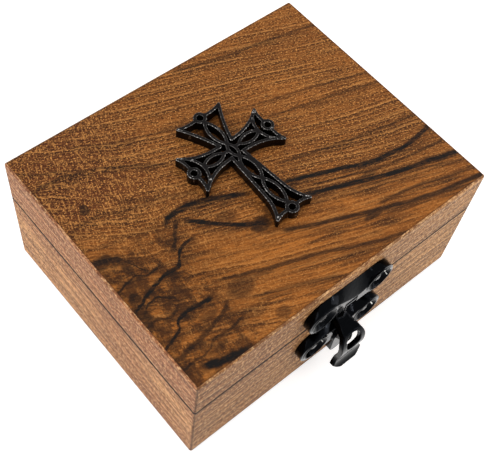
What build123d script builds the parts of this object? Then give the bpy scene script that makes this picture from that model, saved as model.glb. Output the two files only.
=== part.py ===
from build123d import *
import os

os.makedirs("parts", exist_ok=True)

# A small hinged wooden keepsake box, in millimetres.
# X runs along the width, the latch is on the -Y side, the hinges are on the +Y side,
# and the origin is the middle of the underside.

# The box
box_width = 100.0
box_depth = 80.0
box_height = 44.0
seam_height = 28.5  # where the saw cut parts the lid from the base
wall_thickness = 7.0
top_thickness = 4.0
bottom_thickness = 2.5
corner_ease = 0.4  # chamfer on the upright corners
edge_ease = 0.5  # chamfer on the rims of the top and bottom panels
seam_ease = 0.25  # chamfer on both sides of the saw cut

# The openwork cross on the lid, measured from where its two bars meet
cross_x = -1.0
cross_y = 6.5
cross_turn = 1.4  # degrees, as it was glued on by hand
cross_thickness = 3.0
band_width = 0.95  # its frame
strand_width = 0.9  # the plait inside the frame
upright_half_width = 2.45
beam_half_width = 2.8
short_reach = 14.05  # to the two horns that end an arm
foot_reach = 24.6
head_horn_half = 7.7  # half the span of the horns
side_horn_half = 6.6
foot_horn_half = 6.2
head_flare_at = 4.0  # where the frame's straight stretch turns into its bell
side_flare_at = 4.2
foot_flare_at = 17.0
head_flare_out = 0.6  # how far the frame has spread there
side_flare_out = 0.15
foot_flare_out = 1.15
end_sag = 0.35  # how far the edge between horn and knob curves in
knob_radius = 1.9
knob_eye = 0.95
knob_stand = 0.8  # how far the knob stands past the horns
hub_up = 1.85  # the first crossings of the plait, above and below the middle
hub_down = 3.1
hub_half_width = 1.5
side_plait_start = 2.6
side_plait_end = 9.6
side_plait_half = 1.8
head_plait_end = 11.0
head_plait_half = 2.0
foot_plait_middle = 12.1
foot_plait_end = 21.5
foot_plait_half = 2.1
horn_strand_bow = 0.9  # how far the strand to a side horn bows towards the frame

# The cast latch: a plate and a tongue on the lid, a plate with a nose on the base.
# Heights are from the ground, and a stand is a distance out from the wood.
latch_x = -0.5
plate_thickness = 2.6
lid_lobe_radius = 5.0
lid_lobe_spacing = 19.6
lid_lobe_height = 34.8
lid_plate_rise = 5.0  # the plate's top, above the middles of its lobes
lid_web_half_height = 3.6  # the bar that joins the two lobes
lid_crest = [(-4.7, 2.2), (-1.2, 4.0), (3.6, 5.2), (5.8, 4.0)]  # its front rim, below the top
base_lobe_radius = 5.2
base_lobe_spacing = 18.9
base_lobe_height = 17.8
base_plate_rise = 4.9
base_web_half_height = 3.8
base_crest = [(-5.2, 1.3), (-2.6, 2.3), (2.6, 2.5), (5.2, 1.7)]
rim_drop = 0.4  # the rim over a lobe, below the plate's top
shoulder_rise = 0.3  # the rim at a lobe's outer side, as a share of its radius
dish_radius = 3.9  # the countersink round each nail
dish_floor_radius = 3.0
dish_depth = 1.1
plate_nail_shank = 1.4  # the width of its square shank
plate_nail_head = 1.8  # a head's radius
plate_nail_crown = 0.8  # and its height
plate_nail_bite = 5.0  # how far it goes into the wood
tail_half_width = 2.4
tail_bottom = 6.0
tail_thickness = 3.2
nose_half_width = 1.8
nose_stand = 6.3
nose_drop = 0.8  # its middle, below the middles of the lobes
nose_half_height = 2.0
nose_taper = 12.0  # degrees
nose_ease = 0.4

# The latch's tongue
tongue_half_width = 4.4
pivot_drop = 1.8  # the tongue's pin, below the middles of the lid plate's lobes
pivot_stand = 1.5
knuckle_radius = 1.2
knuckle_half_width = 1.9
tongue_pin_radius = 0.6
tongue_pin_grip = 2.4  # how far the pin goes into each side of the plate
back_gap = 0.4  # between the tongue and the wood
cheek_stand = 1.25  # the neck's front at its two edges
ridge_stand = 1.9  # and along its middle
neck_length = 2.3  # from the pin down to the top of the ridge
shelf_back_stand = 1.1  # middle line of the shelf where the tongue turns outward
shelf_rise = 0.4  # and how far its back edge lies above the catch plate's top
shelf_front_stand = 5.8
shelf_fall = 1.9  # from its back edge to its front edge
shoulder_half_width = 3.4  # where the shelf's front edge ends
bill_thickness = 1.6
bill_bulge_stand = 7.3
bill_waist_stand = 6.9
bill_waist_height = 12.2
lip_stand = 8.0
lip_height = 6.0
bill_waist_half = 4.2
lip_half_width = 5.4
lip_corner_height = 8.4
lip_bottom_height = 5.8
window_half_width = 2.6
window_rise = 4.4  # the window's top, above the nose's middle
window_fall = 1.8  # and its bottom, below it
window_round = 2.4

# The two hinges behind
hinge_spacing = 52.0
hinge_length = 18.0
leaf_height = 9.0  # from the seam to the leaf's far edge
leaf_thickness = 0.8
barrel_radius = 1.5
barrel_stand = 1.8
barrel_pin_radius = 0.7
hinge_nail_spacing = 11.0
hinge_nail_shank = 0.9
hinge_nail_head = 1.2
hinge_nail_crown = 0.5
hinge_nail_bite = 4.5

# Fits
side_gap = 0.3  # between faces that pass each other
end_gap = 0.2  # between knuckles, along the pin
running_gap = 0.05  # radial, round a pin that turns
nail_gap = 0.03  # on every side of a nail's shank
crown_taper = 50.0  # degrees, the slope of a nail head's sides
nail_facets = 12

wall_top = box_height - top_thickness
leaf_edge = barrel_radius + side_gap  # a leaf stops here, off the other leaf's knuckles
notch_half_width = knuckle_half_width + side_gap
lid_plate_top = lid_lobe_height + lid_plate_rise
base_plate_top = base_lobe_height + base_plate_rise
nose_height = base_lobe_height - nose_drop
pivot_height = lid_lobe_height - pivot_drop
ridge_top = pivot_height - neck_length
shelf_back_height = base_plate_top + shelf_rise
shelf_front_height = shelf_back_height - shelf_fall
bill_bulge_height = nose_height
window_top = nose_height + window_rise
window_bottom = nose_height - window_fall

# Planes on the front for the latch: face on, from its side, and from above
latch_front = Plane(origin=(latch_x, -box_depth / 2, 0), x_dir=(1, 0, 0), z_dir=(0, -1, 0))
latch_side = Plane(origin=(latch_x, -box_depth / 2, 0), x_dir=(0, -1, 0), z_dir=(-1, 0, 0))
latch_above = Plane(origin=(latch_x, -box_depth / 2, 0), x_dir=(1, 0, 0), z_dir=(0, 0, -1))
back = Plane(origin=(0, box_depth / 2, 0), x_dir=(-1, 0, 0), z_dir=(0, 1, 0))

lid_plate_nails = [(s * lid_lobe_spacing / 2, lid_lobe_height) for s in (-1, 1)]
base_plate_nails = [(s * base_lobe_spacing / 2, base_lobe_height) for s in (-1, 1)]
leaf_nail_rise = (leaf_edge + leaf_height) / 2
leaf_nails_x = [
    h * hinge_spacing / 2 + n * hinge_nail_spacing / 2 for h in (-1, 1) for n in (-1, 1)
]
lid_leaf_nails = [(x, seam_height + leaf_nail_rise) for x in leaf_nails_x]
base_leaf_nails = [(x, seam_height - leaf_nail_rise) for x in leaf_nails_x]


def keep(piece, name):
    """Label a finished piece and write it."""
    piece.part.label = name
    export_step(piece.part, f"parts/{name}.step")


def footprint():
    """The box seen from above, with its upright corners eased, for the sketch in hand."""
    Rectangle(box_width, box_depth)
    chamfer(vertices(), corner_ease)


def nail_hole(shank):
    """The square hole for a nail's shank, for the sketch in hand."""
    Rectangle(shank + 2 * nail_gap, shank + 2 * nail_gap)


# ---------------------------------------------------------------- wooden walls


def mitre_outline(side):
    """The four corners of one wall seen from above, mitred at both ends."""
    w, d, t = box_width / 2, box_depth / 2, wall_thickness
    outer = [(-w, -d), (w, -d), (w, d), (-w, d)]
    inner = [(t - w, t - d), (w - t, t - d), (w - t, d - t), (t - w, d - t)]
    i = ["front", "right", "back", "left"].index(side)
    j = (i + 1) % 4
    return [outer[i], outer[j], inner[j], inner[i]]


def wall(side, low, high, plane=None, nail_places=(), shank=0.0, bite=0.0):
    """One mitred wall, its edge at the seam eased, with holes for the nails it holds."""
    with BuildPart() as piece:
        with BuildSketch(Plane.XY.offset(low)):
            footprint()
            Rectangle(
                box_width - 2 * wall_thickness, box_depth - 2 * wall_thickness, mode=Mode.SUBTRACT
            )
        extrude(amount=high - low)
        flat = piece.faces().filter_by(Axis.Z).sort_by(lambda f: abs(f.center().Z - seam_height))
        chamfer(flat[0].outer_wire().edges(), seam_ease)
        with BuildSketch(Plane.XY.offset(low)):
            with BuildLine():
                Polyline(*mitre_outline(side), close=True)
            make_face()
        extrude(amount=high - low, mode=Mode.INTERSECT)
        if nail_places:
            with BuildSketch(plane):
                with Locations(*nail_places):
                    nail_hole(shank)
            extrude(amount=-bite, mode=Mode.SUBTRACT)
    return piece


for side in ("left", "right"):
    keep(wall(side, bottom_thickness, seam_height), f"base_{side}_wall")
    keep(wall(side, seam_height, wall_top), f"lid_{side}_wall")

base_front_wall = wall(
    "front", bottom_thickness, seam_height,
    latch_front, base_plate_nails, plate_nail_shank, plate_nail_bite,
)
keep(base_front_wall, "base_front_wall")

lid_front_wall = wall(
    "front", seam_height, wall_top,
    latch_front, lid_plate_nails, plate_nail_shank, plate_nail_bite,
)
keep(lid_front_wall, "lid_front_wall")

base_back_wall = wall(
    "back", bottom_thickness, seam_height,
    back, base_leaf_nails, hinge_nail_shank, hinge_nail_bite,
)
keep(base_back_wall, "base_back_wall")

lid_back_wall = wall(
    "back", seam_height, wall_top,
    back, lid_leaf_nails, hinge_nail_shank, hinge_nail_bite,
)
keep(lid_back_wall, "lid_back_wall")


# ---------------------------------------------------------------- panels


def panel(low, thickness, outer_face):
    """A flat panel over the whole box, with the rim of its outer face eased."""
    with BuildPart() as piece:
        with BuildSketch(Plane.XY.offset(low)):
            footprint()
        extrude(amount=thickness)
        chamfer(piece.faces().sort_by(Axis.Z)[outer_face].edges(), edge_ease)
    return piece


keep(panel(0, bottom_thickness, outer_face=0), "bottom_panel")
keep(panel(wall_top, top_thickness, outer_face=-1), "top_panel")


# ---------------------------------------------------------------- the cross


def cross_arm(neck_at, neck_half, flare_at, flare_out, reach, horn_half, bays, bay_half, horned):
    """One arm along +X: its frame, the two strands that plait down it, and its knob.

    The bands are drawn as their middle lines and then traced. A bay is the stretch between
    two crossings of the strands, where they part and leave an eye.
    """
    half_band = band_width / 2
    neck = (neck_at - half_band, neck_half - half_band)
    flare = (flare_at, neck_half + flare_out - half_band)
    horn = (reach - half_band, horn_half - half_band)
    knob_at = reach + knob_stand - knob_radius
    knob_side = (knob_at, knob_radius - half_band)
    last = bays[-1][1]
    with BuildSketch() as arm:
        with BuildLine():
            edge = Line(neck, flare)
            TangentArc(edge @ 1, horn, tangent=edge % 1)
        trace(line_width=band_width)
        with BuildLine():
            sag = ((horn[0] + knob_at) / 2 - end_sag, (horn[1] + knob_side[1]) / 2)
            ThreePointArc(horn, sag, knob_side)
        trace(line_width=band_width)
        with Locations(neck, horn):
            Circle(half_band)
        for start, stop in bays:
            with BuildLine():
                ThreePointArc(
                    (start, 0), ((start + stop) / 2, bay_half - strand_width / 2), (stop, 0)
                )
            trace(line_width=strand_width)
        if horned:
            with BuildLine():
                bow = ((last + horn[0]) / 2 - horn_strand_bow, horn[1] / 2 + horn_strand_bow / 2)
                ThreePointArc((last, 0), bow, horn)
            trace(line_width=strand_width)
        mirror(about=Plane.XZ)
        with Locations(*[(stop, 0) for start, stop in bays]):
            Circle(strand_width / 2)
        with Locations((knob_at, 0)):
            Circle(knob_radius)
            Circle(knob_eye, mode=Mode.SUBTRACT)
    return arm.sketch


head_arm = cross_arm(
    beam_half_width, upright_half_width, head_flare_at, head_flare_out,
    short_reach, head_horn_half, [(hub_up, head_plait_end)], head_plait_half, horned=False,
)
side_arm = cross_arm(
    upright_half_width, beam_half_width, side_flare_at, side_flare_out,
    short_reach, side_horn_half, [(side_plait_start, side_plait_end)], side_plait_half, horned=True,
)
foot_arm = cross_arm(
    beam_half_width, upright_half_width, foot_flare_at, foot_flare_out,
    foot_reach, foot_horn_half,
    [(hub_down, foot_plait_middle), (foot_plait_middle, foot_plait_end)], foot_plait_half,
    horned=False,
)

with BuildPart() as cross:
    with BuildSketch(Plane((cross_x, cross_y, box_height)).rotated((0, 0, cross_turn))):
        add(head_arm, rotation=90)
        add(side_arm)
        add(side_arm, rotation=180)
        add(foot_arm, rotation=-90)
        hub_middle = (hub_up - hub_down) / 2
        hub_side = hub_half_width - strand_width / 2
        for s in (-1, 1):
            with BuildLine():
                ThreePointArc((0, hub_up), (s * hub_side, hub_middle), (0, -hub_down))
            trace(line_width=strand_width)
            with BuildLine():
                Line((s * hub_side, 0), (s * side_plait_start, 0))
            trace(line_width=strand_width)
        with Locations((0, hub_up), (0, -hub_down)):
            Circle(strand_width / 2)
    extrude(amount=cross_thickness)
keep(cross, "cross")


# ---------------------------------------------------------------- nails


def nails(plane, places, seat, shank, bite, head, crown):
    """A group of cut nails, driven in square to the plane.

    The underside of each head lies at seat above the plane, and the shank ends bite below it.
    The shank is square, as wide as given, and the head is hammered round in facets.
    """
    with BuildPart(mode=Mode.PRIVATE) as nail:
        with BuildSketch(Plane.XY.offset(-bite)):
            Rectangle(shank, shank)
        extrude(amount=bite + seat)
        with BuildSketch(Plane.XY.offset(seat)):
            RegularPolygon(head, nail_facets, major_radius=False)
        extrude(amount=crown, taper=crown_taper)
    with BuildPart(plane) as group:
        with Locations(*places):
            add(nail.part)
    return group


plate_nail = (
    plate_thickness - dish_depth, plate_nail_shank, plate_nail_bite,
    plate_nail_head, plate_nail_crown,
)
leaf_nail = (
    leaf_thickness, hinge_nail_shank, hinge_nail_bite, hinge_nail_head, hinge_nail_crown,
)
keep(nails(latch_front, lid_plate_nails, *plate_nail), "hasp_plate_nails")
keep(nails(latch_front, base_plate_nails, *plate_nail), "catch_plate_nails")
keep(nails(back, lid_leaf_nails, *leaf_nail), "lid_hinge_nails")
keep(nails(back, base_leaf_nails, *leaf_nail), "base_hinge_nails")


# ---------------------------------------------------------------- the latch's two plates

dish_taper = Vector(dish_depth, dish_radius - dish_floor_radius).get_angle(Vector(1, 0))
pin_half_length = notch_half_width + tongue_pin_grip


def sloping_waste(edge_height, rim):
    """What lies above a plate's top, which slopes forward from a straight edge to a wavy rim."""
    above = edge_height + lid_lobe_radius
    (left, _), (right, _) = rim[0], rim[-1]
    with BuildPart() as waste:
        for stand, line in ((0, [(left, edge_height), (right, edge_height)]), (1, rim)):
            with BuildSketch(latch_front.offset(stand * plate_thickness)):
                with BuildLine():
                    Spline(*line)
                    Polyline(line[-1], (right, above), (left, above), line[0])
                make_face()
        loft(ruled=True)
    return waste.part


def lobed_plate(nail_places, lobe_radius, top, low, crest):
    """Two round lobes joined by a bar, each lobe with a countersunk dish and a nail hole.

    The rim along the front's top is a wave over both lobes and down along the bar's crest.
    """
    (left, lobe_height), (right, _) = nail_places
    shoulder = lobe_height + shoulder_rise * lobe_radius
    rim = [
        (left - lobe_radius, shoulder), (left, top - rim_drop),
        *[(across, top - drop) for across, drop in crest],
        (right, top - rim_drop), (right + lobe_radius, shoulder),
    ]
    with BuildPart() as piece:
        with BuildSketch(latch_front):
            with Locations(*nail_places):
                Circle(lobe_radius)
            Polygon((left, low), (right, low), (right, top), (left, top), align=None)
        extrude(amount=plate_thickness)
        add(sloping_waste(top, rim), mode=Mode.SUBTRACT)
        with BuildSketch(latch_front.offset(plate_thickness)):
            with Locations(*nail_places):
                Circle(dish_radius)
        extrude(amount=-dish_depth, taper=dish_taper, mode=Mode.SUBTRACT)
        with BuildSketch(latch_front):
            with Locations(*nail_places):
                nail_hole(plate_nail_shank)
        extrude(amount=plate_thickness, mode=Mode.SUBTRACT)
    return piece.part


with BuildPart() as hasp_plate:
    add(
        lobed_plate(
            lid_plate_nails, lid_lobe_radius, lid_plate_top,
            lid_lobe_height - lid_web_half_height, lid_crest,
        )
    )
    # The notch that the tongue's knuckle turns in, and the bore for its pin
    with BuildSketch(latch_front):
        with Locations((0, pivot_height + knuckle_radius + side_gap - lid_lobe_radius)):
            Rectangle(2 * notch_half_width, 2 * lid_lobe_radius)
    extrude(amount=plate_thickness, mode=Mode.SUBTRACT)
    with BuildSketch(latch_side):
        with Locations((pivot_stand, pivot_height)):
            Circle(tongue_pin_radius)
    extrude(amount=pin_half_length, both=True, mode=Mode.SUBTRACT)
keep(hasp_plate, "hasp_plate")

with BuildPart() as hasp_pin:
    with BuildSketch(latch_side):
        with Locations((pivot_stand, pivot_height)):
            Circle(tongue_pin_radius)
    extrude(amount=pin_half_length, both=True)
keep(hasp_pin, "hasp_pin")

with BuildPart() as catch_plate:
    add(
        lobed_plate(
            base_plate_nails, base_lobe_radius, base_plate_top,
            base_lobe_height - base_web_half_height, base_crest,
        )
    )
    # The tail that hangs below, and the nose that the tongue hooks over
    with BuildSketch(latch_front):
        with Locations((0, (nose_height + tail_bottom) / 2)):
            SlotOverall(nose_height - tail_bottom, 2 * tail_half_width, rotation=90)
    extrude(amount=tail_thickness)
    with BuildSketch(latch_front.offset(tail_thickness)):
        with Locations((0, nose_height)):
            Rectangle(2 * nose_half_width, 2 * nose_half_height)
    extrude(amount=nose_stand - tail_thickness, taper=nose_taper)
    chamfer(catch_plate.faces().sort_by(Axis.Y)[0].edges(), nose_ease)
keep(catch_plate, "catch_plate")


# ---------------------------------------------------------------- the latch's tongue

with BuildPart() as hasp_tongue:
    # The bill: a sheet that steps outward, bulges and flares, cut to its front outline
    with BuildSketch(latch_side):
        with BuildLine():
            shelf = Line(
                (shelf_back_stand, shelf_back_height), (shelf_front_stand, shelf_front_height)
            )
            belly = ThreePointArc(
                shelf @ 1, (bill_bulge_stand, bill_bulge_height),
                (bill_waist_stand, bill_waist_height),
            )
            TangentArc(belly @ 1, (lip_stand, lip_height), tangent=belly % 1)
        trace(line_width=bill_thickness)
    extrude(amount=lip_half_width, both=True)
    with BuildSketch(latch_front):
        with BuildLine():
            Line((-knuckle_half_width, ridge_top), (knuckle_half_width, ridge_top))
            Line((knuckle_half_width, ridge_top), (knuckle_half_width, shelf_back_height))
            ThreePointArc(
                (knuckle_half_width, shelf_back_height),
                (shoulder_half_width, shelf_front_height),
                (tongue_half_width, bill_bulge_height),
            )
            flank = Line(
                (tongue_half_width, bill_bulge_height), (bill_waist_half, bill_waist_height)
            )
            TangentArc(flank @ 1, (lip_half_width, lip_corner_height), tangent=flank % 1)
            mirror(about=Plane.YZ)
            ThreePointArc(
                (-lip_half_width, lip_corner_height), (0, lip_bottom_height),
                (lip_half_width, lip_corner_height),
            )
        make_face()
    extrude(amount=2 * lip_stand, mode=Mode.INTERSECT)
    # The neck: a low roof whose ridge runs down the middle on to the shelf
    with BuildSketch(latch_above.offset(-ridge_top)):
        Polygon(
            (-knuckle_half_width, back_gap), (knuckle_half_width, back_gap),
            (knuckle_half_width, cheek_stand), (0, ridge_stand),
            (-knuckle_half_width, cheek_stand), align=None,
        )
    extrude(amount=ridge_top - shelf_back_height)
    # The knuckle
    with BuildSketch(latch_side):
        with Locations((pivot_stand, pivot_height)):
            Circle(knuckle_radius)
        Polygon(
            (back_gap, ridge_top), (cheek_stand, ridge_top), (pivot_stand, pivot_height),
            (back_gap, pivot_height), align=None,
        )
    extrude(amount=knuckle_half_width, both=True)
    with BuildSketch(latch_side):
        with Locations((pivot_stand, pivot_height)):
            Circle(tongue_pin_radius + running_gap)
    extrude(amount=tongue_half_width, both=True, mode=Mode.SUBTRACT)
    # The window that drops over the nose
    with BuildSketch(latch_front.offset(cheek_stand)):
        with Locations((0, (window_top + window_bottom) / 2)):
            RectangleRounded(2 * window_half_width, window_top - window_bottom, window_round)
    extrude(amount=2 * lip_stand, mode=Mode.SUBTRACT)
keep(hasp_tongue, "hasp_tongue")


# ---------------------------------------------------------------- the hinges


def hinge_leaf(middle_x, up, knuckles, bore_radius, nail_places):
    """One leaf on the back: up is 1 for the lid's and -1 for the base's.

    A knuckle is given by where it starts and ends along X, from the hinge's middle.
    """
    axis_at = (box_depth / 2 + barrel_stand, seam_height)
    leaf_middle = seam_height + up * (leaf_edge + leaf_height) / 2
    with BuildPart() as leaf:
        with BuildSketch(back):
            with Locations((-middle_x, leaf_middle)):
                Rectangle(hinge_length, leaf_height - leaf_edge)
        extrude(amount=leaf_thickness)
        for start, stop in knuckles:
            with BuildSketch(Plane.YZ.offset(middle_x + start)):
                with Locations(axis_at):
                    Circle(barrel_radius)
                Polygon(
                    (box_depth / 2, seam_height + up * side_gap),
                    (box_depth / 2 + leaf_thickness, seam_height + up * side_gap),
                    (box_depth / 2 + leaf_thickness, leaf_middle),
                    (box_depth / 2, leaf_middle),
                    align=None,
                )
            extrude(amount=stop - start)
        with BuildSketch(Plane.YZ.offset(middle_x - hinge_length / 2)):
            with Locations(axis_at):
                Circle(bore_radius)
        extrude(amount=hinge_length, mode=Mode.SUBTRACT)
        with BuildSketch(back):
            with Locations(*nail_places):
                nail_hole(hinge_nail_shank)
        extrude(amount=leaf_thickness, mode=Mode.SUBTRACT)
    return leaf


def hinge_pin(middle_x):
    """A pin through the three knuckles, flush with the outer two."""
    with BuildPart() as pin:
        with BuildSketch(Plane.YZ.offset(middle_x - hinge_length / 2)):
            with Locations((box_depth / 2 + barrel_stand, seam_height)):
                Circle(barrel_pin_radius)
        extrude(amount=hinge_length)
    return pin


half_knuckle = hinge_length / 6
lid_knuckles = [(-half_knuckle, half_knuckle)]
base_knuckles = [
    (-hinge_length / 2, -half_knuckle - end_gap), (half_knuckle + end_gap, hinge_length / 2)
]
for side, sign in (("left", -1), ("right", 1)):
    hinge_x = sign * hinge_spacing / 2
    lid_leaf = hinge_leaf(
        hinge_x, 1, lid_knuckles, barrel_pin_radius + running_gap, lid_leaf_nails
    )
    base_leaf = hinge_leaf(hinge_x, -1, base_knuckles, barrel_pin_radius, base_leaf_nails)
    keep(lid_leaf, f"{side}_hinge_lid_leaf")
    keep(base_leaf, f"{side}_hinge_base_leaf")
    keep(hinge_pin(hinge_x), f"{side}_hinge_pin")
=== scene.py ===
import math

import bpy
from mathutils import Matrix, Vector


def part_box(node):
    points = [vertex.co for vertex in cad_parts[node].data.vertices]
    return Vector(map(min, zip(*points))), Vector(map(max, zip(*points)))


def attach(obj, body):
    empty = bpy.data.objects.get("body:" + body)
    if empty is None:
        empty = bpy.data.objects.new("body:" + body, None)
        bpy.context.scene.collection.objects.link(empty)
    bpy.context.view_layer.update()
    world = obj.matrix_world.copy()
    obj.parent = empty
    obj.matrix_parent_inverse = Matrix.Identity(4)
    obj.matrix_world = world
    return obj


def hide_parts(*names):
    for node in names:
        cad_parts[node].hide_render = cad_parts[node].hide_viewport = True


# %% [markdown]
# # A small wooden keepsake box
#
# The box is six slips of wood glued at the mitres and sawn apart into a lid and a base. On the
# lid lies an openwork cross, in front is a cast latch in three parts, and behind are two small
# blackened butt hinges. The joiner's drawing arrives as a frame of finished solids, and this
# lesson dresses them: wood gets its figure, the castings get the softened edges and the black
# lacquer that tell an eye it is looking at metal.

# %% Load the joiner's solids
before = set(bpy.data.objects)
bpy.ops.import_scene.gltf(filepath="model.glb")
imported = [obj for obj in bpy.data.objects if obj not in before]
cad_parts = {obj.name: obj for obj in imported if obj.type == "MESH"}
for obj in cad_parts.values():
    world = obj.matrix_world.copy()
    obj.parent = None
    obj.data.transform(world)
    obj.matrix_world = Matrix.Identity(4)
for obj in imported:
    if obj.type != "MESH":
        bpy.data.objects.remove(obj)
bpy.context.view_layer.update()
MM = 0.001

# %% [markdown]
# ## Where the wood lies
#
# Every size below is read from the solids, so the dressing follows the drawing when it
# changes. The lid's top face is where the maker put the finest figure.

# %% Sizes read from the solids
lid_low, lid_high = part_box("top_panel")
box_width = lid_high.x - lid_low.x
box_depth = lid_high.y - lid_low.y
box_height = lid_high.z
seam_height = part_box("base_front_wall")[1].z
print("box, mm:", [round(v / MM, 1) for v in (box_width, box_depth, box_height)])

# %% [markdown]
# ## Small helpers for wiring a material
#
# A node graph is a sum written with boxes. These helpers each place one box and plug in what
# they are given, a number or the output of another box, so that a material below reads as the
# recipe that it is.


# %% Helpers that place one node
def plug(tree, socket, value):
    """Feeds a socket from another socket, or sets it."""
    if isinstance(value, bpy.types.NodeSocket):
        tree.links.new(value, socket)
    else:
        socket.default_value = value


def calc(tree, operation, a, b=0.0, clamp=False):
    """One sum on numbers."""
    box = tree.nodes.new("ShaderNodeMath")
    box.operation = operation
    box.use_clamp = clamp
    plug(tree, box.inputs[0], a)
    plug(tree, box.inputs[1], b)
    return box.outputs[0]


def ramp(tree, value, low, high, to_low=0.0, to_high=1.0, smooth=True):
    """Turns low..high into to_low..to_high, held at both ends."""
    box = tree.nodes.new("ShaderNodeMapRange")
    box.interpolation_type = "SMOOTHSTEP" if smooth else "LINEAR"
    for socket, given in zip(box.inputs[:5], (value, low, high, to_low, to_high)):
        plug(tree, socket, given)
    return box.outputs[0]


def blend(tree, amount, a, b, how="MIX"):
    """Mixes two colours by an amount from 0 to 1."""
    box = tree.nodes.new("ShaderNodeMix")
    box.data_type = "RGBA"
    box.blend_type = how
    plug(tree, box.inputs[0], amount)
    plug(tree, box.inputs[6], a)
    plug(tree, box.inputs[7], b)
    return box.outputs[2]


def noise(tree, place, scale, detail=2.0, roughness=0.5, stretch=(1, 1, 1), turn=0.0):
    """Soft noise. Its grains are 1 / scale across, pulled out where stretch is below 1."""
    mapping = tree.nodes.new("ShaderNodeMapping")
    mapping.inputs["Rotation"].default_value = (0, 0, -turn)
    mapping.inputs["Scale"].default_value = stretch
    plug(tree, mapping.inputs["Vector"], place)
    box = tree.nodes.new("ShaderNodeTexNoise")
    plug(tree, box.inputs["Vector"], mapping.outputs[0])
    plug(tree, box.inputs["Scale"], scale)
    plug(tree, box.inputs["Detail"], detail)
    plug(tree, box.inputs["Roughness"], roughness)
    return box


def rgb(red, green, blue):
    """A colour as a screen shows it, 0 to 255, in the linear numbers that a shader wants."""
    def linear(v):
        v /= 255
        return v / 12.92 if v <= 0.04045 else ((v + 0.055) / 1.055) ** 2.4
    return (linear(red), linear(green), linear(blue), 1)


def new_group(name, inputs, outputs):
    """An empty node group with named inputs and outputs."""
    tree = bpy.data.node_groups.new(name, "ShaderNodeTree")
    for title, kind in inputs:
        tree.interface.new_socket(title, in_out="INPUT", socket_type=kind)
    for title, kind in outputs:
        tree.interface.new_socket(title, in_out="OUTPUT", socket_type=kind)
    given = tree.nodes.new("NodeGroupInput")
    result = tree.nodes.new("NodeGroupOutput")
    return tree, given.outputs, result.inputs


def use_group(tree, group, **values):
    """Places a node group and fills its inputs, whose names' spaces are written as _."""
    box = tree.nodes.new("ShaderNodeGroup")
    box.node_tree = group
    for title, value in values.items():
        plug(tree, box.inputs[title.replace("_", " ")], value)
    return box.outputs


def new_material(name):
    """A material with a Principled shader, and the object's own coordinates in millimetres."""
    material = bpy.data.materials.new(name)
    material.use_nodes = True
    tree = material.node_tree
    where = tree.nodes.new("ShaderNodeTexCoord").outputs["Object"]
    scale = tree.nodes.new("ShaderNodeVectorMath")
    scale.operation = "SCALE"
    scale.inputs["Scale"].default_value = 1 / MM
    tree.links.new(where, scale.inputs[0])
    return material, tree, tree.nodes["Principled BSDF"], scale.outputs[0]


def dent(tree, shader, height, distance):
    """Lets a height, 0 to 1, move the shading as a relief of that distance would."""
    bump = tree.nodes.new("ShaderNodeBump")
    bump.inputs["Strength"].default_value = 1.0
    bump.inputs["Distance"].default_value = distance
    plug(tree, bump.inputs["Height"], height)
    tree.links.new(bump.outputs[0], shader.inputs["Normal"])


print("helpers ready")

# %% [markdown]
# ## Wood, once for every board
#
# Wood is a stack of growth layers cut at a slant, crossed by pores that run along the grain.
# Both can be had from noise: a saw-tooth of a slowly wandering height gives the layers, each
# darkening gently and ending sharply, and noise pulled out along the grain gives the pores. As
# node groups they serve the figured lid and the plain walls with different numbers.


# %% Group: growth layers
def make_growth_group():
    """Thin lines along X, one for each Spacing that Height climbs."""
    tree, given, result = new_group(
        "growth_layers",
        [("Vector", "NodeSocketVector"), ("Height", "NodeSocketFloat"),
         ("Spacing", "NodeSocketFloat"), ("Wander", "NodeSocketFloat"),
         ("Sharpness", "NodeSocketFloat")],
        [("Dark", "NodeSocketFloat"), ("Pale", "NodeSocketFloat")],
    )
    drift = noise(tree, given["Vector"], 0.03, 1.0, 0.4, stretch=(0.6, 1, 1)).outputs[0]
    drift = calc(tree, "MULTIPLY", calc(tree, "SUBTRACT", drift, 0.5), given["Wander"])
    shake = noise(tree, given["Vector"], 0.5, 2.0, stretch=(0.14, 1, 1)).outputs[0]
    shake = calc(tree, "MULTIPLY", calc(tree, "SUBTRACT", shake, 0.5), 0.7)
    height = calc(tree, "ADD", calc(tree, "ADD", given["Height"], drift), shake)
    layers = calc(tree, "FRACT", calc(tree, "DIVIDE", height, given["Spacing"]))
    # A layer darkens towards its end, then the next one starts pale
    late = calc(tree, "MULTIPLY", calc(tree, "POWER", layers, given["Sharpness"]), ramp(
        tree, layers, 1.0, 0.94))
    early = calc(tree, "MULTIPLY", ramp(tree, layers, 0.0, 0.05), ramp(tree, layers, 0.2, 0.05))
    uneven = noise(tree, given["Vector"], 0.12, 3.0, 0.6, stretch=(0.4, 1, 1)).outputs[0]
    uneven = ramp(tree, uneven, 0.38, 0.58, 0.3, 1.0)
    plug(tree, result["Dark"], calc(tree, "MULTIPLY", late, uneven))
    plug(tree, result["Pale"], calc(tree, "MULTIPLY", early, uneven))
    return tree


growth_layers = make_growth_group()
print("group:", growth_layers.name)


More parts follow.
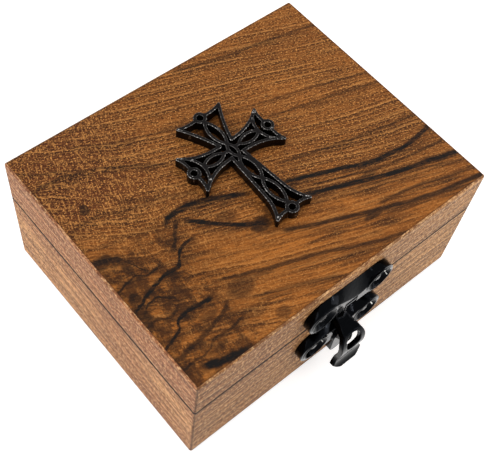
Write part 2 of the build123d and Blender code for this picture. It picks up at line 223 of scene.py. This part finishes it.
# %% Group: pores
def make_pore_group():
    """Dark dashes and pale flecks along X, and faint strokes across it."""
    tree, given, result = new_group(
        "wood_pores",
        [("Vector", "NodeSocketVector"), ("Size", "NodeSocketFloat")],
        [("Pore", "NodeSocketFloat"), ("Fleck", "NodeSocketFloat"),
         ("Ray", "NodeSocketFloat"), ("Streak", "NodeSocketFloat")],
    )
    scale = calc(tree, "DIVIDE", 1.0, given["Size"])
    for title, detail, stretch, low, high in (
        ("Pore", 1.0, (0.3, 1, 1), 0.54, 0.64),
        ("Fleck", 1.0, (0.7, 0.9, 0.9), 0.57, 0.67),
        ("Ray", 1.0, (0.9, 0.16, 1), 0.54, 0.66),
        ("Streak", 3.0, (0.03, 0.5, 0.5), 0.4, 0.62),
    ):
        grain = noise(tree, given["Vector"], scale, detail, 0.6, stretch=stretch).outputs[0]
        plug(tree, result[title], ramp(tree, grain, low, high))
    return tree


wood_pores = make_pore_group()
print("group:", wood_pores.name)


# %% Group: rubbed edges and handling dirt
def make_patina_group():
    tree, given, result = new_group(
        "patina",
        [("Vector", "NodeSocketVector"), ("Grain", "NodeSocketFloat")],
        [("Cloud", "NodeSocketFloat"), ("Scuff", "NodeSocketFloat")],
    )
    cloud = noise(tree, given["Vector"], given["Grain"], 4.0, 0.55).outputs[0]
    plug(tree, result["Cloud"], ramp(tree, cloud, 0.3, 0.7))
    scuff = noise(
        tree, given["Vector"], given["Grain"], 6.0, 0.7, stretch=(1.0, 5.0, 2.0)
    ).outputs[0]
    plug(tree, result["Scuff"], ramp(tree, scuff, 0.58, 0.75))
    return tree


patina = make_patina_group()
print("group:", patina.name)

# %% [markdown]
# ## The lid's figured board
#
# The top is the show face: orange-brown wood whose layers fall gently to the right, with ink
# dark veins through its lower half and a knotty corner at the left. A vein is a given line, so
# each is a short list of places in millimetres, which a Float Curve joins smoothly, and its
# darkness falls off on both sides.


# %% A dark vein along a line, and a dark spot
def vein(tree, x, y, feather, line, half_width, strength):
    """How dark a vein is at x, y. The line is its places from left to right.

    Its core is inky. Below it lies a broad brown shade and above it a narrow one, and the
    feather breaks both into strands.
    """
    left, right = line[0][0], line[-1][0]
    low, high = min(p[1] for p in line) - 1, max(p[1] for p in line) + 1
    curve = tree.nodes.new("ShaderNodeFloatCurve")
    points = curve.mapping.curves[0].points
    while len(points) < len(line):
        points.new(0.5, 0.5)
    for point, (px, py) in zip(points, line):
        point.location = ((px - left) / (right - left), (py - low) / (high - low))
    curve.mapping.update()
    plug(tree, curve.inputs["Value"], ramp(tree, x, left, right, smooth=False))
    middle = ramp(tree, curve.outputs[0], 0, 1, low, high, smooth=False)
    above = calc(tree, "SUBTRACT", y, middle)
    core = ramp(tree, calc(tree, "ABSOLUTE", above), 0.4 * half_width, 1.3 * half_width, strength, 0)
    shade = ramp(tree, above, -6 * half_width, 0, 0, 0.8 * strength)
    shade = calc(tree, "MULTIPLY", shade, ramp(tree, above, 0, 2.2 * half_width, 1, 0))
    shade = calc(tree, "MULTIPLY", shade, feather)
    ends = calc(
        tree, "MULTIPLY", ramp(tree, x, left, left + 4), ramp(tree, x, right - 4, right, 1, 0)
    )
    return calc(tree, "MULTIPLY", calc(tree, "MAXIMUM", core, shade), ends)


def spot(tree, x, y, centre, reach, strength):
    """How dark a spot is at x, y: full in the middle and gone at its reach each way."""
    across = calc(tree, "DIVIDE", calc(tree, "SUBTRACT", x, centre[0]), reach[0])
    up = calc(tree, "DIVIDE", calc(tree, "SUBTRACT", y, centre[1]), reach[1])
    away = calc(tree, "ADD", calc(tree, "MULTIPLY", across, across), calc(
        tree, "MULTIPLY", up, up))
    return ramp(tree, away, 0.25, 1.0, strength, 0.0)


# Places in millimetres on the lid, then half the vein's width and its strength
LID_VEINS = [
    ([(-31, -2), (-24.4, 0.8), (-16.7, -0.4), (-10, -3.3), (-3.3, -6.7)], 1.3, 1.0),
    ([(-26, -1), (-21, -4.5), (-16.7, -9), (-11, -13.3), (-4, -17.5)], 1.2, 1.0),
    ([(2, -8), (7.8, -10), (18.9, -14.2), (26.7, -17.5), (34.4, -19.2), (42, -19.8), (54, -17.4)],
     0.9, 1.0),
    ([(4, -14), (15, -18.4), (23, -21.6), (30, -24.2), (40, -27), (54, -31)], 1.1, 1.0),
    ([(-8, -18), (1, -22.8), (10, -26.6), (21, -31), (34, -35.5), (54, -40)], 0.9, 0.9),
    ([(-30, -20), (-17, -25.3), (-2, -30.8), (12, -37), (24, -41)], 0.7, 0.8),
    ([(-54, -18.5), (-43, -13.3), (-37, -11.6), (-33, -11.7), (-29, -8.4), (-23, -7.6)], 0.7, 1.0),
    ([(-34, -10), (-30, -6.5), (-27, -3), (-22, -0.5)], 1.2, 0.9),
    ([(-54, -29), (-44, -25.6), (-41, -22.9), (-35.5, -23.2), (-29, -22.3)], 0.7, 1.0),
    ([(-54, -31.6), (-43, -30.8), (-34.4, -28.9), (-27, -25.5)], 0.9, 0.8),
    ([(-48, -36.2), (-43, -37.3), (-37, -38.6), (-31, -41)], 1.4, 1.0),
    ([(-54, 1.5), (-49, 0.6), (-44, -1.5), (-39, -8)], 1.3, 0.85),
    ([(-54, 28), (-43, 27.2), (-36, 25.6), (-28, 21.5), (-15, 13.5)], 0.6, 0.6),
    ([(-54, 38), (-44, 31), (-30, 22.5), (-18, 13)], 0.4, 0.5),
    ([(-36, 12.6), (-30, 10.4), (-24, 6.6), (-14, 2.2)], 0.8, 0.5),
    ([(-36, 35), (-20, 27), (0, 20.5), (20, 14.5), (54, 4.5)], 0.4, 0.5),
    ([(3, 39), (20, 34.5), (36, 31.4), (54, 27)], 0.6, 0.6),
    ([(14, 11), (26, 7.4), (38, 4.4), (54, -0.5)], 0.5, 0.6),
    ([(5, -2.4), (20, -7), (36, -10.8), (54, -14.5)], 0.6, 0.6),
    ([(8, -12.5), (22, -18.5), (30, -21), (44, -23.8), (54, -25)], 0.5, 0.7),
    ([(-20, 8), (-34, 9), (-42, 12), (-54, 9)][::-1], 0.5, 0.4),
    ([(-26, -29), (-10, -35), (0, -40)], 0.6, 0.6),
    ([(18, -28.6), (32, -31), (44, -34.6), (54, -37)], 0.6, 0.7),
    ([(-54, -10), (-48, -8), (-44, -7), (-40, -8.9), (-34, -6.8)], 0.5, 0.9),
    ([(-47, 1), (-43.3, -1.7), (-41.7, -4.4), (-40, -7.8), (-37, -12)], 0.6, 0.9),
    ([(-52, -20), (-48, -17.8), (-43.3, -15.4), (-41, -17), (-36, -20.5)], 0.5, 0.9),
    ([(-54, -24), (-47, -20.4), (-43.3, -21.6), (-38, -18)], 0.5, 0.8),
    ([(-54, -33), (-43.3, -34.2), (-38, -32.4), (-33, -32.8), (-27, -30)], 0.5, 0.8),
]
# Middle, reach each way, and strength
LID_SPOTS = [
    ((-47.5, 0.3), (3.4, 2.6), 0.9),
    ((-42.0, 15.5), (1.6, 2.4), 0.75),
    ((-37.0, 25.5), (1.6, 1.0), 0.5),
    ((-48.5, -18.0), (2.4, 4.5), 0.85),
    ((-43.3, -4.5), (1.8, 3.0), 0.75),
    ((-30.0, -5.5), (3.0, 1.8), 0.65),
    ((-24.5, -25.5), (5.0, 4.0), 0.6),
    ((-38.0, -29.0), (3.0, 1.2), 0.5),
    ((-11.0, -4.5), (4.5, 1.5), 0.55),
    ((-9.0, -15.0), (4.0, 2.6), 0.9),
    ((-15.0, -8.0), (4.5, 2.6), 0.55),
    ((-40.0, -34.0), (5.0, 2.4), 0.5),
    ((17.0, -30.4), (5.0, 1.5), 0.85),
    ((24.5, -20.5), (4.5, 1.3), 0.7),
    ((-21.0, -37.0), (2.6, 2.2), 0.5),
    ((-47.0, -13.0), (2.6, 2.4), 0.8),
    ((-36.0, -26.5), (3.4, 1.6), 0.6),
]
print("veins:", len(LID_VEINS), "spots:", len(LID_SPOTS))


# %% Material: figured lid wood
LID_BROWN = rgb(152, 91, 38)
LID_ORANGE = rgb(173, 103, 40)
LID_SHADE = rgb(88, 46, 16)
LID_RED = rgb(84, 42, 20)
LID_DARK = rgb(44, 22, 8)
LID_PALE = rgb(212, 146, 78)
LID_INK = rgb(12, 7, 5)
GRAIN_FALL = 0.32  # radians, how steeply the grain falls to the right
# The cross's bars on the lid: middle and half sizes of the painted shade that darkens the wood under
# and around them
CROSS_SHADE_BARS = [((-1.0, 1.5), (2.6, 18.0)), ((-1.0, 6.5), (12.5, 3.2)), ((-1.0, -14.5), (4.6, 3.0))]


def make_lid_wood():
    material, tree, shader, place = new_material("lid_wood")
    split = tree.nodes.new("ShaderNodeSeparateXYZ")
    plug(tree, split.inputs[0], place)
    # The veins are bent a little, and more in the knotty corner at the left
    amount = ramp(tree, split.outputs["X"], -12.0, -30.0, 1.2, 3.6)
    bend = tree.nodes.new("ShaderNodeSeparateColor")
    plug(tree, bend.inputs[0], noise(tree, place, 0.14, 5.0, 0.6).outputs["Color"])
    x, y = (
        calc(tree, "ADD", split.outputs[axis], calc(
            tree, "MULTIPLY", calc(tree, "SUBTRACT", bend.outputs[channel], 0.5), amount))
        for axis, channel in (("X", "Red"), ("Y", "Green"))
    )
    turned = tree.nodes.new("ShaderNodeMapping")
    turned.inputs["Rotation"].default_value = (0, 0, GRAIN_FALL)
    plug(tree, turned.inputs["Vector"], place)
    grain = turned.outputs[0]

    # The layers fall to the right, more steeply at the left
    left_of = calc(tree, "MINIMUM", calc(tree, "ADD", x, 10.0), 0.0)
    height = calc(tree, "ADD", y, calc(tree, "MULTIPLY", x, math.tan(GRAIN_FALL)))
    height = calc(tree, "SUBTRACT", height, calc(tree, "MULTIPLY", calc(
        tree, "MULTIPLY", left_of, left_of), 0.006))
    broad = use_group(
        tree, growth_layers, Vector=grain, Height=height, Spacing=4.3, Wander=8.0, Sharpness=6.0)
    narrow = use_group(
        tree, growth_layers, Vector=grain, Height=height, Spacing=1.25, Wander=8.0, Sharpness=2.2)
    pores = use_group(tree, wood_pores, Vector=grain, Size=0.36)
    clouds = use_group(tree, patina, Vector=grain, Grain=0.06)

    low_half = ramp(tree, height, -4.0, -26.0)
    even = ramp(tree, low_half, 0, 1, 1.0, 0.45, smooth=False)
    colour = blend(tree, low_half, LID_BROWN, LID_ORANGE)
    colour = blend(tree, calc(tree, "MULTIPLY", clouds["Cloud"], 0.5), colour, LID_SHADE)
    colour = blend(tree, calc(tree, "MULTIPLY", pores["Streak"], 0.45), colour, LID_SHADE)
    upper_left = calc(tree, "MULTIPLY", ramp(tree, x, -6.0, -36.0), ramp(tree, y, -2.0, 18.0))
    colour = blend(tree, calc(tree, "MULTIPLY", upper_left, 0.9), colour, LID_RED)
    bands = noise(tree, grain, 0.32, 4.0, 0.62, stretch=(0.13, 1, 1)).outputs[0]
    for mask, strength, tint in (
        (ramp(tree, bands, 0.5, 0.68), ramp(tree, low_half, 0, 1, 0.25, 0.8), LID_DARK),
        (ramp(tree, bands, 0.45, 0.3), ramp(tree, low_half, 0, 1, 0.0, 0.3), LID_PALE),
        (narrow["Dark"], ramp(tree, low_half, 0, 1, 0.95, 0.5), LID_DARK),
        (broad["Dark"], 0.95, LID_DARK),
    ):
        colour = blend(tree, calc(tree, "MULTIPLY", mask, strength), colour, tint)
    for mask, strength, tint in (
        (narrow["Pale"], 0.5, LID_PALE), (broad["Pale"], 0.45, LID_PALE),
        (pores["Ray"], ramp(tree, x, -5.0, -30.0, 0.12, 0.45), LID_PALE),
        (pores["Pore"], 0.7, LID_DARK), (pores["Fleck"], 0.85, LID_PALE),
    ):
        amount = calc(tree, "MULTIPLY", calc(tree, "MULTIPLY", mask, strength), even)
        colour = blend(tree, amount, colour, tint)

    # The knotty corner: darker, with thin black lines where a slow noise crosses its middle
    knot = calc(tree, "MULTIPLY", ramp(tree, x, -24.0, -34.0), ramp(tree, y, 6.0, -4.0))
    swirl = noise(tree, place, 0.15, 7.0, 0.72, (1.5, 0.8, 1)).outputs[0]
    line = ramp(tree, calc(tree, "ABSOLUTE", calc(tree, "SUBTRACT", swirl, 0.5)), 0.0, 0.02, 1, 0)
    shade = calc(tree, "MULTIPLY", knot, ramp(tree, swirl, 0.46, 0.58, 0.15, 0.85))
    colour = blend(tree, shade, colour, LID_DARK)
    dark = calc(tree, "MULTIPLY", calc(tree, "MULTIPLY", knot, line), 0.8)
    feather = ramp(tree, pores["Streak"], 0, 1, 0.35, 1.0, smooth=False)
    for path, half_width, strength in LID_VEINS:
        dark = calc(tree, "MAXIMUM", dark, vein(tree, x, y, feather, path, half_width, strength))
    for centre, reach, strength in LID_SPOTS:
        dark = calc(tree, "MAXIMUM", dark, spot(tree, x, y, centre, reach, strength))
    # Painted shade under the cross's bars, on the board's top face only, where the bars shade the
    # wood
    outside = ramp(tree, split.outputs["Z"], box_height / MM - 4.2, box_height / MM - 3.8, 0, 0.6)
    for centre, reach in CROSS_SHADE_BARS:
        shade_under_bar = outside
        for axis, middle, half in zip("XY", centre, reach):
            away = calc(tree, "ABSOLUTE", calc(tree, "SUBTRACT", split.outputs[axis], middle))
            shade_under_bar = calc(tree, "MULTIPLY", shade_under_bar, ramp(tree, away, half - 0.4, half + 0.8, 1, 0))
        dark = calc(tree, "MAXIMUM", dark, shade_under_bar)
    thin = ramp(tree, noise(tree, grain, 1.1, 3.0, 0.7, (0.3, 1, 1)).outputs[0], 0.35, 0.55, 0.85, 1)
    colour = blend(tree, calc(tree, "MULTIPLY", dark, thin), colour, LID_INK)
    # Painted shade: the board is darkened in a thin band along its outline
    outline_shade = None
    for axis, half in (("X", box_width / MM / 2), ("Y", box_depth / MM / 2)):
        away = ramp(tree, calc(tree, "ABSOLUTE", split.outputs[axis]), half - 1.1, half - 0.3)
        outline_shade = away if outline_shade is None else calc(tree, "MAXIMUM", outline_shade, away)
    colour = blend(tree, calc(tree, "MULTIPLY", outline_shade, 0.7), colour, LID_DARK)

    plug(tree, shader.inputs["Base Color"], colour)
    plug(tree, shader.inputs["Roughness"], ramp(tree, pores["Pore"], 0, 1, 0.52, 0.7))
    shader.inputs["Specular IOR Level"].default_value = 0.12
    dent(tree, shader, calc(tree, "SUBTRACT", pores["Fleck"], pores["Pore"]), 0.012 * MM)
    return material


lid_wood = make_lid_wood()
print("material:", lid_wood.name)

# %% [markdown]
# ## The plain walls
#
# The walls are paler, pinkish boards with the grain along their length. A left or right wall
# runs along Y and a front or back wall along X, so the same recipe is built twice with the grain
# turned. The two copies also differ in colour, and that difference is painted light: the side
# walls are coloured as the lamp lights them, the front and back walls as a shaded copy. Each
# wall's sawn edge and the inside stay raw.


# %% Material: wall wood
WALL_PORE = rgb(104, 64, 42)
WALL_PALE = rgb(236, 190, 138)
SEAM_DARK = rgb(14, 9, 7)
EDGE_SHADE = rgb(84, 58, 44)


def make_wall_wood(name, turn, half_length, stand, low, high, deep, streak, painted_shade_lean=0.0):
    """Pale wood with its grain along a wall, low near the table and high near the lid.

    The wall's outer face stands that far from the box's middle. The last number, above 0, is
    painted shade that darkens the wall towards its end at -X.
    """
    material, tree, shader, place = new_material(name)
    mapping = tree.nodes.new("ShaderNodeMapping")
    mapping.inputs["Rotation"].default_value = (0, 0, turn)
    plug(tree, mapping.inputs["Vector"], place)
    along = mapping.outputs[0]
    split = tree.nodes.new("ShaderNodeSeparateXYZ")
    plug(tree, split.inputs[0], along)
    across, up = split.outputs["X"], split.outputs["Z"]
    height = calc(tree, "ADD", up, calc(tree, "MULTIPLY", across, 0.1))
    layers = use_group(
        tree, growth_layers, Vector=along, Height=height, Spacing=4.2, Wander=16.0, Sharpness=3.0)
    pores = use_group(tree, wood_pores, Vector=along, Size=0.45)
    rays = noise(tree, along, 1.7, 3.0, 0.7, (0.7, 1, 0.6)).outputs[0]
    clouds = use_group(tree, patina, Vector=along, Grain=0.05)
    colour = blend(tree, ramp(tree, up, 20.0, 34.0), low, high)
    # Random clouds darken the colour, and painted shade darkens it towards the end at -X
    tone_and_painted_shade = calc(tree, "ADD", calc(tree, "MULTIPLY", clouds["Cloud"], 0.8 - painted_shade_lean), ramp(
        tree, across, -half_length, half_length, painted_shade_lean, 0.0))
    colour = blend(tree, tone_and_painted_shade, colour, deep)
    for mask, strength, tint in (
        (pores["Streak"], 0.75, streak), (layers["Dark"], 1.0, streak),
        (layers["Pale"], 0.5, WALL_PALE), (ramp(tree, rays, 0.5, 0.64), 0.8, WALL_PORE),
        (ramp(tree, rays, 0.5, 0.36), 0.65, WALL_PALE), (pores["Pore"], 0.7, WALL_PORE),
    ):
        colour = blend(tree, calc(tree, "MULTIPLY", mask, strength), colour, tint)
    # The saw cut is a dark line on the wall's outer face
    away = calc(tree, "ABSOLUTE", calc(tree, "SUBTRACT", up, seam_height / MM))
    outer = calc(tree, "ABSOLUTE", split.outputs["Y"])
    outer = ramp(tree, outer, stand - 0.5, stand - 0.3)
    seam_line = calc(tree, "MULTIPLY", ramp(tree, away, 0.35, 0.7, 1.0, 0.0), outer)
    colour = blend(tree, seam_line, colour, SEAM_DARK)
    # Darker at the wall's ends, along the mitre, and along its bottom edge, where it is painted
    # shade where the wall stands on the table
    ends = ramp(tree, calc(tree, "ABSOLUTE", across), half_length - 0.7, half_length - 0.1)
    edges = calc(tree, "MAXIMUM", ends, ramp(tree, up, 1.2, 0.3))
    colour = blend(tree, calc(tree, "MULTIPLY", edges, 0.75), colour, EDGE_SHADE)
    plug(tree, shader.inputs["Base Color"], colour)
    plug(tree, shader.inputs["Roughness"], ramp(tree, pores["Pore"], 0, 1, 0.52, 0.68))
    shader.inputs["Specular IOR Level"].default_value = 0.12
    dent(tree, shader, calc(tree, "SUBTRACT", 1.0, pores["Pore"]), 0.02 * MM)
    return material


# One wood; the two copies' different colours are painted light, the side walls lit and the front and
# back walls shaded
lit_side_wood = make_wall_wood(
    "lit_side_wood", math.pi / 2, box_depth / MM / 2, box_width / MM / 2,
    rgb(240, 180, 120), rgb(188, 128, 88), rgb(188, 122, 76), rgb(112, 64, 38))
shaded_front_wood = make_wall_wood(
    "shaded_front_wood", 0.0, box_width / MM / 2, box_depth / MM / 2,
    rgb(216, 160, 100), rgb(210, 154, 98), rgb(130, 82, 44), rgb(84, 52, 30), painted_shade_lean=0.55)
bottom_wood = make_wall_wood(
    "bottom_wood", 0.0, box_width / MM / 2, box_depth / MM / 2,
    rgb(184, 140, 104), rgb(178, 136, 102), rgb(152, 112, 82), rgb(126, 92, 70))
print("materials:", lit_side_wood.name, shaded_front_wood.name, bottom_wood.name)

# %% [markdown]
# ## Black castings
#
# The cross, the latch and the hinges are cast or pressed metal under a black, glossy finish.
# Seen from above they are almost black, and seen along the surface they mirror the pale table,
# which is what makes a black thing look like metal. The finish is thin on the rubbed edges:
# Pointiness finds those, and a pale grey shows through there, partly wear and partly a painted
# highlight that draws the bright lines along the rims.


# %% Material: black cast metal
def make_black_metal(name, body, worn_and_highlight, bright, patches, roughness, grain, relief):
    """Black lacquered metal, thin in patches where its edges are sharp, where a pale colour shows;
    that colour is partly a painted highlight.
    """
    material, tree, shader, place = new_material(name)
    old = use_group(tree, patina, Vector=place, Grain=grain)
    edge = tree.nodes.new("ShaderNodeNewGeometry").outputs["Pointiness"]
    # Painted highlight as well as wear: sharp edges take the pale colour, light enough to stand in
    # for the bright lines along the rims
    rubbed_and_highlight = calc(tree, "MULTIPLY", ramp(tree, edge, *bright), ramp(
        tree, old["Cloud"], *patches, 0.1, 1.0))
    colour = blend(tree, rubbed_and_highlight, body, worn_and_highlight)
    colour = blend(tree, calc(tree, "MULTIPLY", old["Scuff"], 0.006), colour, worn_and_highlight)
    plug(tree, shader.inputs["Base Color"], colour)
    shader.inputs["Metallic"].default_value = 1.0
    plug(tree, shader.inputs["Roughness"], ramp(
        tree, old["Cloud"], 0, 1, roughness, roughness + 0.12, smooth=False))
    casting = noise(tree, place, 1.1, 3.0, 0.5).outputs[0]
    dent(tree, shader, casting, relief * MM)
    return material


black_casting = make_black_metal(
    "black_casting", rgb(11, 12, 14), rgb(222, 220, 214), (0.56, 0.61), (0.0, 0.35), 0.06, 0.5, 0.03)
cross_black = make_black_metal(
    "cross_black", rgb(30, 28, 28), rgb(190, 186, 182), (0.515, 0.56), (0.66, 0.9), 0.3, 2.6, 0.05)
black_steel = make_black_metal(
    "black_steel", rgb(26, 25, 26), rgb(120, 116, 110), (0.52, 0.6), (0.3, 0.9), 0.28, 0.5, 0.03)
nail_metal = make_black_metal(
    "nail_metal", rgb(40, 39, 39), rgb(210, 206, 200), (0.51, 0.58), (0.3, 0.6), 0.12, 1.2, 0.05)
print("materials:", black_casting.name, cross_black.name, black_steel.name, nail_metal.name)

# %% [markdown]
# ## Dress the solids that are already right
#
# A board or a pin whose shape is already right only needs its finish, which goes into its
# material slots. The top panel shows its figured face upward, while its narrow sides are the
# same pale wood as the walls below them, so its faces are shared out by the way they point.


# %% Which finish each solid takes
FINISHES = {
    lit_side_wood: ["lid_left_wall", "lid_right_wall", "base_left_wall", "base_right_wall"],
    shaded_front_wood: ["lid_front_wall", "lid_back_wall", "base_front_wall", "base_back_wall"],
    black_steel: ["left_hinge_pin", "right_hinge_pin", "hasp_pin"],
}
for material, names in FINISHES.items():
    for name in names:
        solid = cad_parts[name].data
        solid.materials.clear()
        solid.materials.append(material)

# A panel's broad faces, then its front and back edges, then its left and right edges
for name, broad_finish in (("top_panel", lid_wood), ("bottom_panel", bottom_wood)):
    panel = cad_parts[name].data
    panel.materials.clear()
    for material in (broad_finish, shaded_front_wood, lit_side_wood):
        panel.materials.append(material)
    # Each edge takes the wall copy, and so the painted light, of the walls that face the same way
    for face in panel.polygons:
        across, along, up = (abs(part) for part in face.normal)
        face.material_index = 0 if up > 0.9 else (1 if along > across else 2)
print("dressed:", sum(len(names) for names in FINISHES.values()) + 2)

# %% [markdown]
# ## Castings that look cast
#
# Molten metal never fills a sharp corner and never leaves one, so every edge of a casting is a
# little round, inside and out. Bevelling each edge by hand would be slow. Instead a copy of
# the drawn solid is merged, rebuilt in tiny cubes by a voxel Remesh, and relaxed by a Smooth
# modifier, which rounds all its edges at once by the same amount. Anything that touches the
# copy, such as the raised ring round a dish, is melted into it by the same Remesh.


# %% A cast copy of a solid
def merged_copy(node_name, name):
    """A new object with the solid's own shape, its loose triangles joined, alone selected."""
    bpy.ops.object.select_all(action="DESELECT")
    piece = bpy.data.objects.new(name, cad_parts[node_name].data.copy())
    bpy.context.collection.objects.link(piece)
    piece.select_set(True)
    bpy.context.view_layer.objects.active = piece
    bpy.ops.object.mode_set(mode="EDIT")
    bpy.ops.mesh.select_all(action="SELECT")
    bpy.ops.mesh.remove_doubles(threshold=0.001 * MM)
    bpy.ops.object.mode_set(mode="OBJECT")
    return piece


def melt(piece, grain, rounds, keep=1.0):
    """Rebuilds a piece in cubes of the grain's size and relaxes it, then thins its mesh."""
    remesh = piece.modifiers.new("remesh", "REMESH")
    remesh.mode = "VOXEL"
    remesh.voxel_size = grain
    relax = piece.modifiers.new("relax", "SMOOTH")
    relax.factor, relax.iterations = 0.5, rounds
    names = ["remesh", "relax"]
    if keep < 1.0:
        thin = piece.modifiers.new("thin", "DECIMATE")
        thin.ratio = keep
        names.append("thin")
    bpy.ops.object.select_all(action="DESELECT")
    piece.select_set(True)
    bpy.context.view_layer.objects.active = piece
    for modifier in names:
        bpy.ops.object.modifier_apply(modifier=modifier)
    bpy.ops.object.shade_smooth()


def settle(piece, node_name, body, material):
    """Gives a piece its finish and its body, in the place of a solid."""
    piece.data.materials.clear()
    piece.data.materials.append(material)
    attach(piece, body)
    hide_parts(node_name)
    print(piece.name, "on", body, "faces:", len(piece.data.polygons))


def nail_middles(node_name):
    """The two nails' middles along X, from the ends of their solid, and their height."""
    low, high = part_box(node_name)
    head = (high.z - low.z) / 2
    return [low.x + head, high.x - head], (low.z + high.z) / 2


# %% The latch's two plates
plate_stand = -box_depth / 2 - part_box("hasp_plate")[0].y  # the plates' thickness
RING_REACH = 4.15 * MM  # from a nail to the middle of the raised ring round its dish
RING_ROUND = 0.28 * MM


def cast_plate(node_name, nails_name, name, body):
    """A plate with a raised ring cast round each dish."""
    piece = merged_copy(node_name, name)
    middles, height = nail_middles(nails_name)
    face = -box_depth / 2 - plate_stand
    for x in middles:
        bpy.ops.object.select_all(action="DESELECT")
        bpy.ops.mesh.primitive_torus_add(
            location=(x, face, height), rotation=(math.pi / 2, 0, 0),
            major_radius=RING_REACH, minor_radius=RING_ROUND,
            major_segments=64, minor_segments=12,
        )
        ring = bpy.context.active_object
        piece.select_set(True)
        bpy.context.view_layer.objects.active = piece
        bpy.ops.object.join()
    melt(piece, 0.15 * MM, 5)
    settle(piece, node_name, body, black_casting)
    return piece


cast_plate("hasp_plate", "hasp_plate_nails", "lid_latch_plate", "lid")
cast_plate("catch_plate", "catch_plate_nails", "base_latch_plate", "base")

# %% The tongue
tongue = merged_copy("hasp_tongue", "latch_tongue")
melt(tongue, 0.15 * MM, 8)
settle(tongue, "hasp_tongue", "hasp", black_casting)

# %% The cross
cross = merged_copy("cross", "openwork_cross")
melt(cross, 0.17 * MM, 3, keep=0.6)
settle(cross, "cross", "lid", cross_black)

# %% Nails
for node_name, name, body in (
    ("hasp_plate_nails", "lid_latch_nails", "lid"),
    ("catch_plate_nails", "base_latch_nails", "base"),
    ("lid_hinge_nails", "hinge_nails_lid", "lid"),
    ("base_hinge_nails", "hinge_nails_base", "base"),
):
    nail_set = merged_copy(node_name, name)
    melt(nail_set, 0.11 * MM, 5)
    settle(nail_set, node_name, body, nail_metal)

# %% Hinge leaves
for side in ("left", "right"):
    for part, body in (("lid", "lid"), ("base", "base")):
        leaf = merged_copy(f"{side}_hinge_{part}_leaf", f"{side}_{part}_hinge_leaf")
        melt(leaf, 0.14 * MM, 2, keep=0.5)
        settle(leaf, f"{side}_hinge_{part}_leaf", body, black_steel)

# %% [markdown]
# ## Table, light and camera
#
# The box was photographed on a white sweep under a broad soft light, so the table is white to
# the camera and in reflections, and to everything else a pale grey that still takes a shadow.
# The light comes from above and a little from the left.


# %% A white table that keeps a soft shadow
def make_table():
    bpy.ops.mesh.primitive_plane_add(size=6.0, location=(0, 0, 0))
    table = bpy.context.active_object
    table.name = "table"
    material, tree, shader, _ = new_material("table_white")
    shader.inputs["Base Color"].default_value = (0.8, 0.8, 0.8, 1)
    shader.inputs["Roughness"].default_value = 0.8
    shader.inputs["Specular IOR Level"].default_value = 0.0
    path = tree.nodes.new("ShaderNodeLightPath").outputs
    seen = calc(tree, "MAXIMUM", path["Is Camera Ray"], path["Is Glossy Ray"])
    seen = calc(tree, "MAXIMUM", seen, path["Is Transmission Ray"])
    shader.inputs["Emission Color"].default_value = (1, 1, 1, 1)
    plug(tree, shader.inputs["Emission Strength"], calc(tree, "MULTIPLY", seen, 0.56))
    table.data.materials.append(material)
    return table


bpy.ops.object.select_all(action="DESELECT")
table = make_table()
print("table:", table.name)


# %% Light
def make_world():
    world = bpy.data.worlds.new("studio")
    bpy.context.scene.world = world
    world.use_nodes = True
    tree = world.node_tree
    background = tree.nodes["Background"]
    path = tree.nodes.new("ShaderNodeLightPath").outputs
    seen = calc(tree, "MAXIMUM", path["Is Camera Ray"], path["Is Glossy Ray"])
    seen = calc(tree, "MAXIMUM", seen, path["Is Transmission Ray"])
    level = ramp(tree, seen, 0, 1, 0.5, 1.0, smooth=False)
    background.inputs["Color"].default_value = (1, 1, 1, 1)
    plug(tree, background.inputs["Strength"], level)
    return world


def softbox(name, place, aim, width, height, power):
    """An area lamp that faces a point."""
    bpy.ops.object.light_add(type="AREA", location=place)
    lamp = bpy.context.active_object
    lamp.name = name
    lamp.data.shape = "RECTANGLE"
    lamp.data.size, lamp.data.size_y = width, height
    lamp.data.energy = power
    direction = Vector(aim) - Vector(place)
    lamp.rotation_mode = "QUATERNION"
    lamp.rotation_quaternion = direction.to_track_quat("-Z", "Y")
    return lamp


make_world()
middle = (0, 0, box_height / 2)
softbox("key", (-0.42, 0.12, 0.55), middle, 0.45, 0.45, 2.2)
softbox("fill", (0.45, -0.40, 0.30), middle, 0.3, 0.3, 1.1)
softbox("front_strip", (0.28, -0.52, 0.40), middle, 0.45, 0.02, 0.9)
softbox("side_strip", (-0.58, 0.24, 0.28), middle, 0.40, 0.02, 0.5)
softbox("glint", (0.36, 0.0, 0.50), middle, 0.05, 0.05, 0.25)

# %% [markdown]
# ## The photographer's place
#
# The camera looks down from the front left with a short telephoto lens, a little rolled. Its
# turn is written as angles round the box, as a photographer would note them, and its place as a
# point in millimetres.

# %% Camera
AZIMUTH = math.radians(-47.17)
ELEVATION = math.radians(58.90)
ROLL = math.radians(8.35)
CAMERA_PLACE = Vector((-105.41, -95.73, 238.47)) * MM
LENS = 66.98  # mm on a sensor 36 mm wide
SHIFT = (0.0240, 0.0431)


def make_camera():
    data = bpy.data.cameras.new("camera")
    camera = bpy.data.objects.new("camera", data)
    bpy.context.collection.objects.link(camera)
    back = Vector((
        math.sin(AZIMUTH) * math.cos(ELEVATION), -math.cos(AZIMUTH) * math.cos(ELEVATION),
        math.sin(ELEVATION),
    ))
    right = Vector((math.cos(AZIMUTH), math.sin(AZIMUTH), 0))
    up = back.cross(right)
    across = math.cos(ROLL) * right + math.sin(ROLL) * up
    upward = -math.sin(ROLL) * right + math.cos(ROLL) * up
    turn = [[across[i], upward[i], back[i]] for i in range(3)]
    camera.matrix_world = Matrix.Translation(CAMERA_PLACE) @ Matrix(turn).to_4x4()
    data.lens = LENS
    data.sensor_width = 36.0
    data.shift_x, data.shift_y = SHIFT
    data.clip_start, data.clip_end = 0.01, 20.0
    return camera


bpy.context.scene.camera = make_camera()
bpy.context.scene.view_settings.view_transform = "Standard"
print("camera:", [round(v, 3) for v in CAMERA_PLACE])
